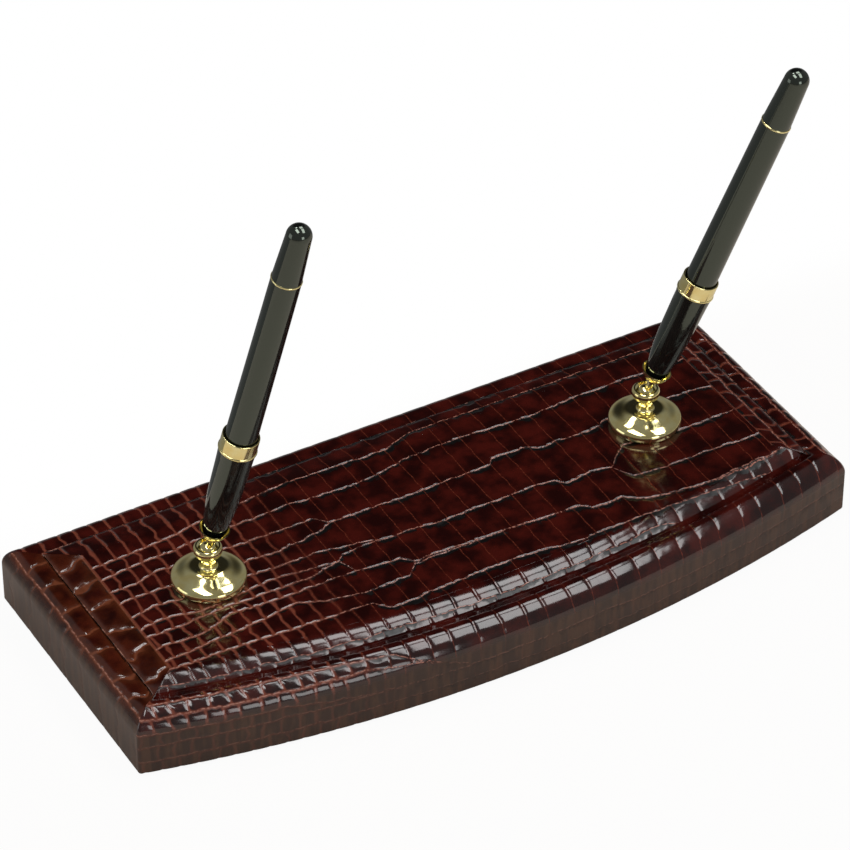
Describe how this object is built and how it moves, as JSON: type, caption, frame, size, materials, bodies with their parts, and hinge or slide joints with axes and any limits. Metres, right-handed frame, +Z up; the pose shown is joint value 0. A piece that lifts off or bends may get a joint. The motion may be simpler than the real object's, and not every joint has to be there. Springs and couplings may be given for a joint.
{
  "type": "double pen stand",
  "caption": "Desk pen stand: a leather-covered block with a bowed front and a double-roll edge, and swivelling gold holders with black pens.",
  "frame": {"origin": "on the table, below the centre of the block's bounding box", "axes": "+X along the block's length, -Y out of the bowed front, +Z up"},
  "size_m": [0.28, 0.1222, 0.1825],
  "materials": {
    "leather": "glossy embossed, dark red-brown",
    "core_wood": "plain sawn fibreboard",
    "felt": "short pile",
    "gold_metal": "polished",
    "steel": "zinc plated",
    "black_gloss": "polished",
    "black_matte": "smooth",
    "nylon": "natural"
  },
  "bodies": {
    "base": {"wood_core": "core_wood", "leather_cover": "leather", "bottom_board": "core_wood", "felt_pad": "felt", "left_holder_dome": "gold_metal", "left_collar": "gold_metal", "left_seat_spring": "steel", "left_holder_screw": "steel", "left_washer": "steel", "left_lock_washer": "steel", "right_holder_dome": "gold_metal", "right_collar": "gold_metal", "right_seat_spring": "steel", "right_holder_screw": "steel", "right_washer": "steel", "right_lock_washer": "steel"},
    "left_swivel": {"left_ball_seat": "nylon"},
    "left_funnel_unit": {"left_ball_stud": "gold_metal", "left_funnel_cup": "gold_metal", "left_funnel": "black_gloss", "left_funnel_liner": "black_matte", "left_funnel_band": "gold_metal", "left_band_bead": "gold_metal"},
    "left_pen": {"left_pen_barrel": "black_gloss", "left_pen_ring": "gold_metal", "left_pen_end_cap": "black_gloss", "left_pen_section": "black_gloss", "left_pen_tip_cone": "gold_metal", "left_pen_refill": "steel", "left_pen_coupling": "gold_metal"},
    "right_swivel": {"right_ball_seat": "nylon"},
    "right_funnel_unit": {"right_ball_stud": "gold_metal", "right_funnel_cup": "gold_metal", "right_funnel": "black_gloss", "right_funnel_liner": "black_matte", "right_funnel_band": "gold_metal", "right_band_bead": "gold_metal"},
    "right_pen": {"right_pen_barrel": "black_gloss", "right_pen_ring": "gold_metal", "right_pen_end_cap": "black_gloss", "right_pen_section": "black_gloss", "right_pen_tip_cone": "gold_metal", "right_pen_refill": "steel", "right_pen_coupling": "gold_metal"}
  },
  "joints": [
    {"name": "left_turn", "type": "hinge", "parent": "base", "child": "left_swivel", "pos_m": [-0.0871, 0.0069, 0.0394], "axis": [0, 0, 1], "continuous": true},
    {"name": "left_tilt", "type": "hinge", "parent": "left_swivel", "child": "left_funnel_unit", "pos_m": [-0.0871, 0.0069, 0.0394], "axis": [0.7408, 0.6717, 0], "range_deg": [-49.2, 20.8]},
    {"name": "left_pull_out", "type": "slide", "parent": "left_funnel_unit", "child": "left_pen", "axis": [0.1648, -0.1817, 0.9694], "range_m": [0, 0.042]},
    {"name": "right_turn", "type": "hinge", "parent": "base", "child": "right_swivel", "pos_m": [0.0871, 0.0069, 0.0394], "axis": [0, 0, 1], "continuous": true},
    {"name": "right_tilt", "type": "hinge", "parent": "right_swivel", "child": "right_funnel_unit", "pos_m": [0.0871, 0.0069, 0.0394], "axis": [0.5807, 0.8141, 0], "range_deg": [-53.8, 16.2]},
    {"name": "right_pull_out", "type": "slide", "parent": "right_funnel_unit", "child": "right_pen", "axis": [0.2624, -0.1871, 0.9466], "range_m": [0, 0.042]}
  ]
}
